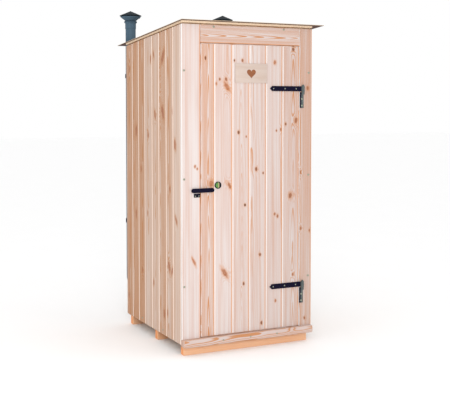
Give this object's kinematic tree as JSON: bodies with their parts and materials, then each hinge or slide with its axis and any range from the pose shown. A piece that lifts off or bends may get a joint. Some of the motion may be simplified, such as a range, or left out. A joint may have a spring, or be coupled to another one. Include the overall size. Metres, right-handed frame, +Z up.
{
  "type": "wooden outhouse",
  "caption": "Board-clad wooden outhouse on timber skids with a hollow cabin, pent roof, hinged ledged door with a latch bar and occupancy indicator, and capped vent pipes up its rear wall.",
  "frame": {"origin": "centre of the cabin's plan at ground level, on the underside of the middle skid", "axes": "+Z up, the door faces -Y, +X to the right as seen from the door side"},
  "size_m": [1.061, 1.21, 2.316],
  "materials": {
    "front_boards": "satin",
    "side_boards": "satin",
    "frame_timber": "satin",
    "skid_timber": "satin",
    "roof_deck": "matte",
    "roof_sheet": "satin",
    "black_metal": "satin",
    "indicator_face": "satin",
    "plywood": "satin",
    "vent_plastic": "satin"
  },
  "bodies": {
    "cabin": {"skid_front": "skid_timber", "skid_middle": "skid_timber", "skid_rear": "skid_timber", "floor": "frame_timber", "sill_board": "frame_timber", "left_wall": "side_boards", "right_wall": "side_boards", "rear_wall": "side_boards", "front_stile_left": "front_boards", "front_stile_right": "front_boards", "front_header": "front_boards", "frame_left": "frame_timber", "frame_right": "frame_timber", "front_rail": "frame_timber", "rear_rail_bottom": "frame_timber", "rear_rail_middle": "frame_timber", "rear_rail_top": "frame_timber", "rafter": "frame_timber", "roof_deck": "roof_deck", "roof_sheet": "roof_sheet", "hinge_plate_upper": "black_metal", "hinge_plate_lower": "black_metal", "latch_keeper": "black_metal", "vent_pipe_left": "vent_plastic", "vent_pipe_right": "vent_plastic", "vent_elbow_left": "vent_plastic", "vent_elbow_right": "vent_plastic", "vent_cap_left": "vent_plastic", "vent_cap_right": "vent_plastic", "door_stop": "frame_timber", "vent_clamp_left_upper": "black_metal", "vent_clamp_left_lower": "black_metal", "vent_clamp_right_upper": "black_metal", "vent_clamp_right_lower": "black_metal"},
    "door": {"door_leaf": "front_boards", "door_ledge_top": "frame_timber", "door_ledge_bottom": "frame_timber", "door_brace": "frame_timber", "hinge_strap_upper": "black_metal", "hinge_strap_lower": "black_metal", "latch_pivot": "black_metal", "indicator_ring": "black_metal", "name_plate": "plywood"},
    "latch": {"latch_bar": "black_metal"},
    "indicator": {"indicator_disc": "indicator_face", "indicator_turn": "black_metal"}
  },
  "joints": [
    {"name": "door_hinge", "type": "hinge", "parent": "cabin", "child": "door", "pos_m": [0.4055, -0.5275, 0.4], "axis": [0, 0, 1], "range_deg": [0, 110]},
    {"name": "latch_turn", "type": "hinge", "parent": "door", "child": "latch", "pos_m": [-0.2715, -0.5245, 1.07], "axis": [0, 1, 0], "range_deg": [0, 80]},
    {"name": "indicator_turn", "type": "hinge", "parent": "door", "child": "indicator", "pos_m": [-0.2285, -0.5055, 1.1], "axis": [0, 1, 0], "range_deg": [0, 90]}
  ]
}
